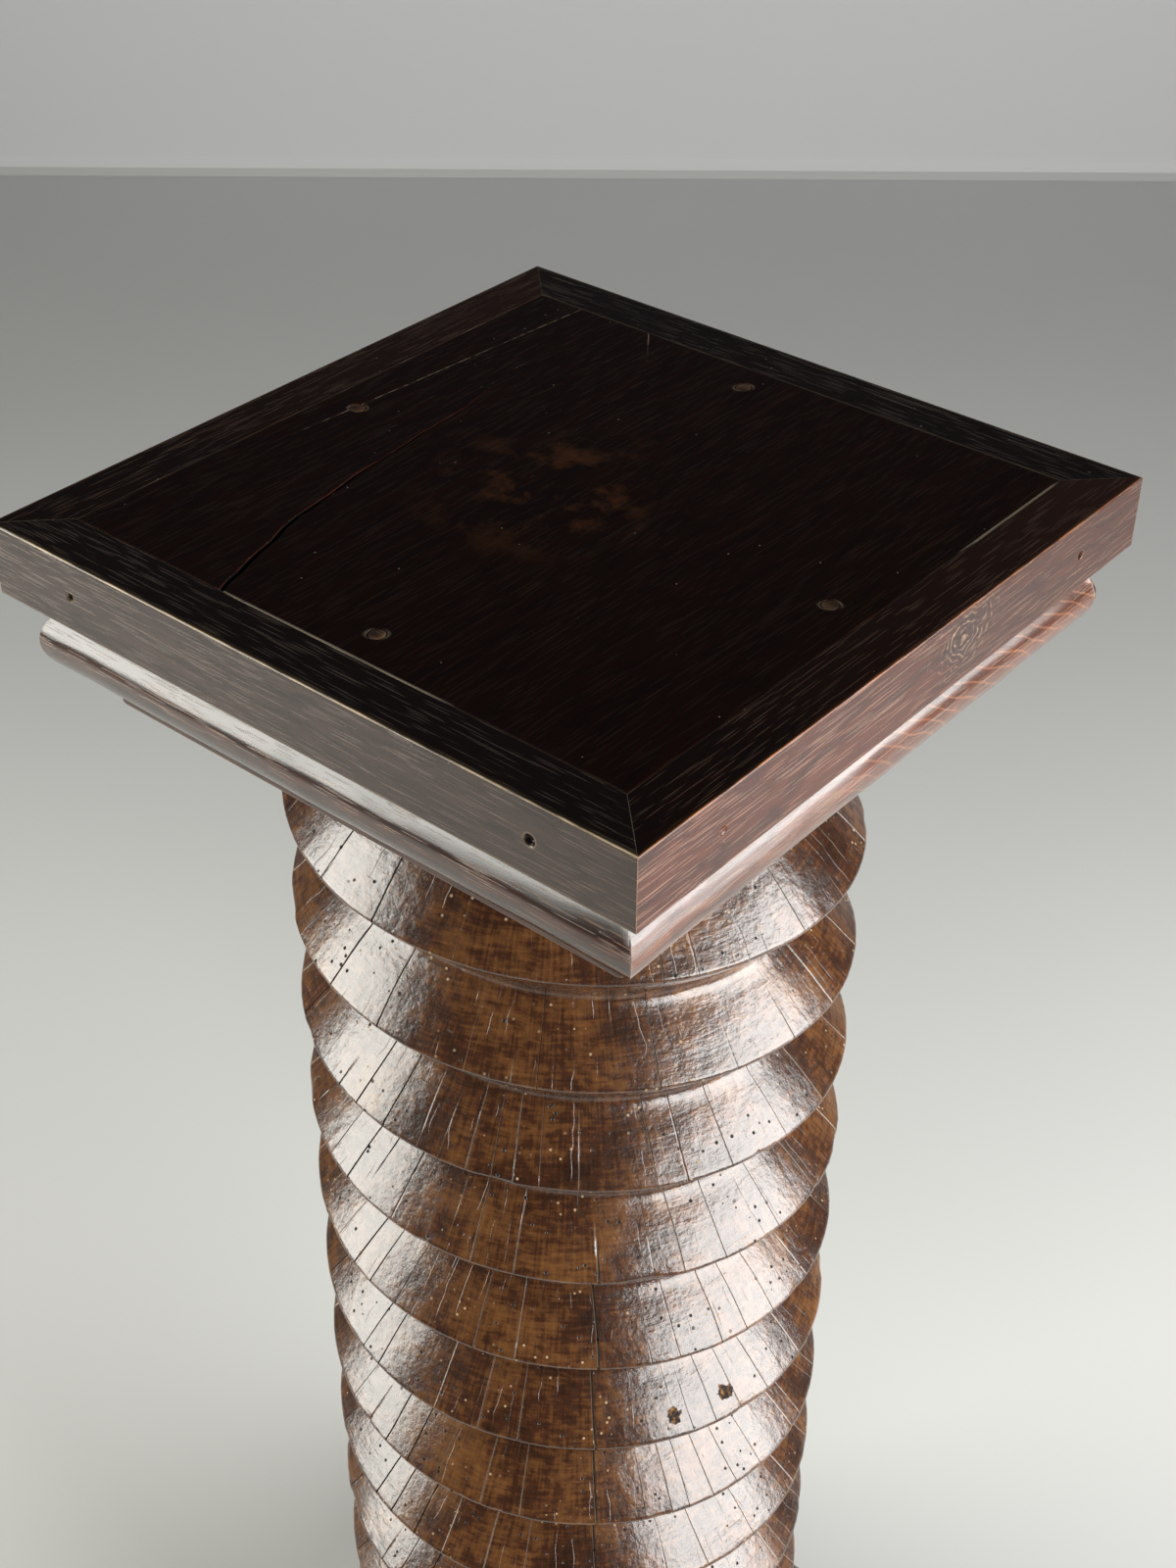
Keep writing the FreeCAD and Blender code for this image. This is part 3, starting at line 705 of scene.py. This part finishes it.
def panel_sheet(split, holes, hole_depth, seed):
    """Board face as one grid over x and y, and its edges as a skirt from the rim down to the underside. Grid
    lines are drawn into circles at the holes and pulled sideways along the split, whose walls are upright."""
    even = np.linspace(-panel_half, panel_half, 30)
    edge = panel_half - np.array([0, 0.5, 1.2, 4]) * MM
    x_lines = np.unique(np.round(np.concatenate([even, edge, -edge, split_rest + split_offsets]
                                                + [spot + hole_steps for spot in plug_spots[:, 0]]), 6))
    y_lines = np.unique(np.round(np.concatenate([even, edge, -edge]
                                                + [spot + hole_steps for spot in plug_spots[:, 1]]), 6))
    x_lines, y_lines = x_lines[np.abs(x_lines) <= panel_half], y_lines[np.abs(y_lines) <= panel_half]
    x, y = np.meshgrid(x_lines, y_lines)
    depth, wear, dust = 0 * x, 0 * x, 0 * x
    for middle_x, middle_y in plug_spots:
        x_moved, y_moved, ring = round_off(x, y, middle_x, middle_y, holes + 0.4 * MM, hole_reach)
        near = ring < hole_reach
        x, y = np.where(near, x_moved, x), np.where(near, y_moved, y)
        depth = np.where(near, depth + hole_depth * ease((holes + 0.1 * MM - ring) / (0.12 * MM)), depth)
        # Pale dust round the rim of each hole, paler on two opposite sides as a painted highlight
        side_lit = 0.5 + 0.5 * np.sin(np.arctan2(y - middle_y, x - middle_x) * 2 + middle_x * 40)
        rim = 0.12 * side_lit ** 2 * np.exp(-((ring - holes - 0.3 * MM) / (0.4 * MM)) ** 2)
        dust = np.where(near, np.maximum(dust, rim), dust)
    if split:
        path = np.interp(y, split_path[:, 0], split_path[:, 1]) + 0.8 * MM * lump(y / (9 * MM), 0 * y, seed)
        pull = 1 - ease((np.abs(x - split_rest) - 12 * MM) / (36 * MM))
        from_split = x - split_rest
        x = x + pull * (path - split_rest)
        width = 1.7 * MM * ease((split_end - y) / split_taper)
        width = width * (1 + 0.35 * lump(y / (13 * MM), 0 * y, seed + 1))
        open_here = np.clip(width / MM, 0, 1)
        off_split, half_gap = np.abs(from_split), 0.85 * width
        wall_off = np.where(off_split < split_lip, off_split * half_gap / split_wall,
                            half_gap + off_split - split_wall)
        spread = np.where(off_split < 0.9 * MM, wall_off - off_split, 0.6 * width * (off_split < 4 * MM))
        x = x + np.sign(from_split) * spread
        depth = depth + 9 * MM * open_here * (off_split < split_lip)
        lip = np.exp(-np.abs(from_split + 2 * MM) / (5 * MM)) * (from_split < -0.5 * MM)
        depth = depth - 0.25 * MM * lip * open_here
        wear = np.maximum(wear, 0.06 * open_here * np.exp(-((from_split + 2 * MM) / (0.8 * MM)) ** 2))
    edge_off = np.minimum(panel_half - np.abs(x), panel_half - np.abs(y))
    depth = depth + 0.15 * MM * (1 - ease(edge_off / (0.6 * MM)))
    # Dust lies in the open joints at the front and the right, pale enough to be also a painted highlight of
    # the joint's edges, and a trace of it all round
    front = ease((x + 72 * MM) / (6 * MM)) * ease((74 * MM - x) / (8 * MM))
    front = front * np.exp(-((y + panel_half) / (0.45 * MM)) ** 2)
    right = ease((y - 83 * MM) / (8 * MM)) * ease((169 * MM - y) / (6 * MM))
    right = right * np.exp(-((x - panel_half) / (0.45 * MM)) ** 2)
    broken = np.clip(0.5 + lump(x / (20 * MM), y / (20 * MM), seed + 2), 0, 1)
    rim = 0.04 * np.exp(-(edge_off / (0.6 * MM)) ** 2) * broken
    dust = np.maximum(np.maximum(dust, rim), (front + right) * (1 if split else 0.1))
    level = slab_high - depth + 0.12 * MM * lump(x / (40 * MM), y / (70 * MM), seed + 3) - 0.12 * MM
    face = np.stack([x, y, level, wear, dust], -1)
    rim_line = np.concatenate([face[0], face[1:, -1], face[-1, -2::-1], face[-2::-1, 0]])
    skirt = np.stack([rim_line, rim_line])
    skirt[1, :, 2], skirt[1, :, 3:] = slab_low, 0
    return face, skirt


panel_face = panel_sheet(split=True, holes=plug_hole, hole_depth=plug_depth + 0.1 * MM, seed=81)
base_face = panel_sheet(split=False, holes=2.5 * MM, hole_depth=2.6 * MM, seed=91)

# The same oak on the panels, blacker still, with brown showing through where the stain is rubbed thin, one
# glue joint that has opened to a pale line, and a short scratch by the back rail
panel_wood = stained_wood("stained_oak_panel", 1, "#0b0403", "#0c0605", "#522414", "#9a7a62", "#4a3224",
                          gloss=0.2, side_pores=0.1, top_pores=0.03)
tree, shader, tone, spot = taken_up(panel_wood)
tree.nodes["Bump"].inputs["Strength"].default_value = 0.2
shader.inputs["Specular IOR Level"].default_value = 0.3
axes = add(tree, "SeparateXYZ", {0: spot})
rubbed_spot = (-15 * MM, 0.0, overall_height)
middle = vectors(tree, "DISTANCE", spot, rubbed_spot)["Value"]
middle = ramp(tree, middle, 75 * MM, 20 * MM)
thin_stain = noise(tree, spot, 24 * MM, 4, 0.6)[0]
thin_stain = ramp(tree, thin_stain, 0.52, 0.7, 0, 0.5)
thin_stain = maths(tree, "MULTIPLY", thin_stain, middle)
tone = blend(tree, thin_stain, tone, "#5a351c")
# The two pale lines: x per y, x where y is nought, the stretch in y, and half the width
pale_lines = ((0.068, -152.1 * MM, -45 * MM, 169 * MM, 0.3 * MM),
              (-0.76, 37.7 * MM, 140 * MM, 170 * MM, 0.4 * MM))
for slope, start, low_end, high_end, half_width in pale_lines:
    line = maths(tree, "MULTIPLY_ADD", axes[1], -slope, axes[0])
    line = maths(tree, "COMPARE", line, start, half_width)
    from_low = ramp(tree, axes[1], low_end, low_end + 30 * MM)
    to_high = ramp(tree, axes[1], high_end + MM, high_end)
    ragged = noise(tree, spot, 6 * MM, 3)[0]
    ragged = ramp(tree, ragged, 0.44, 0.6, 0.08, 0.6)
    for part in (from_low, to_high, ragged):
        line = maths(tree, "MULTIPLY", line, part)
    tone = blend(tree, line, tone, "#94806c")
# Painted shade: wherever the panel's face sinks more than about half a millimetre, in the split and the plug
# holes, it turns near black and dull
from_middle = maths(tree, "SUBTRACT", axes[2], half_height)
from_middle = maths(tree, "ABSOLUTE", from_middle)
recess_shade = ramp(tree, from_middle, half_height - 0.35 * MM, half_height - 0.6 * MM)
tone = blend(tree, recess_shade, tone, "#040202")
tree.links.new(tone, shader.inputs["Base Color"])
dulled = shader.inputs["Roughness"].links[0].from_socket
dulled = maths(tree, "MULTIPLY_ADD", recess_shade, 0.7, dulled, use_clamp=True)
tree.links.new(dulled, shader.inputs["Roughness"])
clad("top_panel", panel_wood, "stained_oak", *panel_face)
clad("base_panel", panel_wood, "stained_oak", *(to_side(sheet, "base", "front") for sheet in base_face))

# The plugs: four short pegs of the same oak, tapped in over the nails and pared off level with the panel.
# Their end grain took the stain unevenly.
plug_radius = 4.5 * MM
plug_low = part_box("panel_plugs")[0].z
plug_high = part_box("panel_plugs")[1].z
plug_turn = np.append(np.linspace(0, TAU, 33)[:-1], 0)
plug_rows = np.array([(0, plug_high - 0.1 * MM, 0.1), (2.6 * MM, plug_high - 0.15 * MM, 0.2),
                      (3.9 * MM, plug_high - 0.3 * MM, 0.6), (4.4 * MM, plug_high - 0.7 * MM, 0.5),
                      (plug_radius, plug_high - 1.2 * MM, 0), (plug_radius, plug_low, 0), (0, plug_low, 0)])
row_radius, row_level, row_wear = np.moveaxis(plug_rows[:, :, None], 1, 0)
plug_sheets = []
for number, (middle_x, middle_y) in enumerate(plug_spots):
    tilt = 0.12 * MM * np.cos(plug_turn - number) * (row_radius / plug_radius) * (row_level > plug_high - MM)
    patch = row_wear * (0.5 + 0.5 * np.cos(plug_turn + 2 * number))
    plug_sheets.append(np.stack([middle_x + row_radius * np.cos(plug_turn),
                                 middle_y + row_radius * np.sin(plug_turn), row_level + tilt, patch,
                                 0 * tilt], -1))
# End-grain oak: browner than the panel and dull, because the cut ends drink the wax
plug_wood = stained_wood("end_grain_oak", 0, "#20130d", "#2e1b12", "#7a5238", "#93785c", "#8a6a4e",
                         gloss=0.4, side_pores=0.5, top_pores=0.2)
clad("panel_plugs", plug_wood, "stained_oak", *plug_sheets)

# The nails: square cut nails of wrought iron, rusted dark. Eight hold the rails of a slab, four its panel.
# The solids of the frame are right as they are, at the bottom of their pits and under the plugs.

# Rusted iron: nearly black, with patches of red-brown rust that have no shine
rusted_iron, tree = new_finish("rusted_iron")
spot = add(tree, "TexCoord")["Object"]
scale_patch = noise(tree, spot, 1.2 * MM, 4)[0]
rust = ramp(tree, scale_patch, 0.4, 0.62)
rust_tone = blend(tree, rust, "#1b1614", "#4a2a1a")
bare = ramp(tree, rust, 0, 1, 0.7, 0.0)
pitted = add(tree, "Bump", {"Height": scale_patch, "Strength": 0.6, "Distance": 0.2 * MM})[0]
shader = add(tree, "BsdfPrincipled", {"Base Color": rust_tone, "Metallic": bare, "Roughness": 0.62,
                                      "Normal": pitted})[0]
add(tree, "OutputMaterial", {0: shader})
for nails in ("rail_nails_top", "rail_nails_base", "panel_nails_top", "panel_nails_base"):
    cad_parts[nails].data.materials.clear()
    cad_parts[nails].data.materials.append(rusted_iron)

# The room: a pale painted floor that meets a grey wall behind the pedestal, both plain.
# The wall stands square to the camera's view, and a small cove joins it to the floor.
camera_turn = 0.69525
look = np.array([-math.sin(camera_turn), math.cos(camera_turn)])
aside = np.array([look[1], -look[0]])
wall_away, wall_tall, cove = 3.30, 1.7, 0.03
room_profile = np.array([(-6, 0), (wall_away - cove, 0), (wall_away - 0.3 * cove, 0.3 * cove),
                         (wall_away, cove), (wall_away, wall_tall)])
room_width = np.array([-7.0, 7.0])
room_plan = room_profile[:, None, :1] * look + room_width[None, :, None] * aside
room_level = np.broadcast_to(room_profile[:, None, 1:], (*room_plan.shape[:2], 1))
room_points = np.concatenate([room_plan, room_level], -1).reshape(-1, 3)
room_mesh = bpy.data.meshes.new("room")
room_mesh.from_pydata(room_points.tolist(), [], [(2 * i, 2 * i + 1, 2 * i + 3, 2 * i + 2)
                                                 for i in range(len(room_profile) - 1)])
# Matt paint: dull and slightly cloudy from the roller, with painted light and shade: the floor paler nearer
# the camera, and the wall darker high up
matt_paint, tree = new_finish("matt_paint")
spot = add(tree, "TexCoord")["Object"]
up = add(tree, "SeparateXYZ", {0: spot})[2]
on_wall = ramp(tree, up, 0.005, 0.02)
roller = noise(tree, spot, 0.6, 3)[0]
roller = ramp(tree, roller, 0.3, 0.7)
away = vectors(tree, "DOT_PRODUCT", spot, (*look, 0))["Value"]
near_painted_light = ramp(tree, away, 1.6, 0.2)
near_painted_light = maths(tree, "MULTIPLY_ADD", roller, 0.12, near_painted_light)
floor_tone = blend(tree, near_painted_light, "#bdbebd", "#d2d3d1")
high_painted_shade = ramp(tree, up, 0.5, 1.5)
wall_tone = blend(tree, high_painted_shade, "#c2c3c4", "#606061")
paint = blend(tree, on_wall, floor_tone, wall_tone)
shader = add(tree, "BsdfPrincipled", {"Base Color": paint, "Roughness": 0.7})[0]
add(tree, "OutputMaterial", {0: shader})
room_mesh.materials.append(matt_paint)
room = bpy.data.objects.new("room", room_mesh)
bpy.context.scene.collection.objects.link(room)

# The light: a tall window to the left, a wider one to the right with a narrow low one under it, all soft, and
# a dim room round them.
lamp_aim = np.array([0, 0, 0.8])


def window(name, azimuth, elevation, away, width, tall, power, tint):
    """Rectangular area lamp at an azimuth, elevation and distance from the column, facing it and upright."""
    lamp = bpy.data.lights.new(name, "AREA")
    lamp.shape, lamp.size, lamp.size_y, lamp.energy = "RECTANGLE", width, tall, power
    lamp.color = linear(tint)[:3]
    made = bpy.data.objects.new(name, lamp)
    az, el = math.radians(azimuth), math.radians(elevation)
    toward = np.array([math.cos(el) * math.cos(az), math.cos(el) * math.sin(az), math.sin(el)])
    turn = Matrix.Rotation(az + math.pi / 2, 4, "Z") @ Matrix.Rotation(math.pi / 2 - el, 4, "X")
    made.matrix_world = Matrix.Translation(lamp_aim + away * toward) @ turn
    made.visible_camera = False
    bpy.context.scene.collection.objects.link(made)


window("left_window", azimuth=-136, elevation=18, away=2.6, width=1.5, tall=1.9, power=88, tint="#fffef6")
window("right_window", azimuth=18.5, elevation=18, away=2.6, width=2.8, tall=1.4, power=146, tint="#fefdfb")
window("low_right_window", azimuth=33.5, elevation=-7, away=2.25, width=0.55, tall=1.0, power=10,
       tint="#fefdfb")
world = bpy.data.worlds.new("dim_room")
bpy.context.scene.world = world
world.use_nodes = True
world.node_tree.nodes["Background"].inputs["Color"].default_value = linear("#f4f6f8")
world.node_tree.nodes["Background"].inputs["Strength"].default_value = 0.035

# The camera: held in the hand a little above the top, looking down at the front corner.
# Its place, tilt and lens are those that bring the slab's corners to their places in the picture.
camera_tilt, camera_roll = math.radians(53.5), 0.0051747
camera = bpy.data.cameras.new("camera")
camera.lens = 50.518
camera.sensor_width = 36
viewer = bpy.data.objects.new("camera", camera)
viewer.matrix_world = (Matrix.Translation((0.61148, -0.72352, overall_height + 0.52785))
                       @ Matrix.Rotation(camera_turn, 4, "Z")
                       @ Matrix.Rotation(camera_tilt, 4, "X") @ Matrix.Rotation(camera_roll, 4, "Z"))
bpy.context.scene.collection.objects.link(viewer)
bpy.context.scene.camera = viewer
bpy.context.scene.view_settings.view_transform = "Standard"
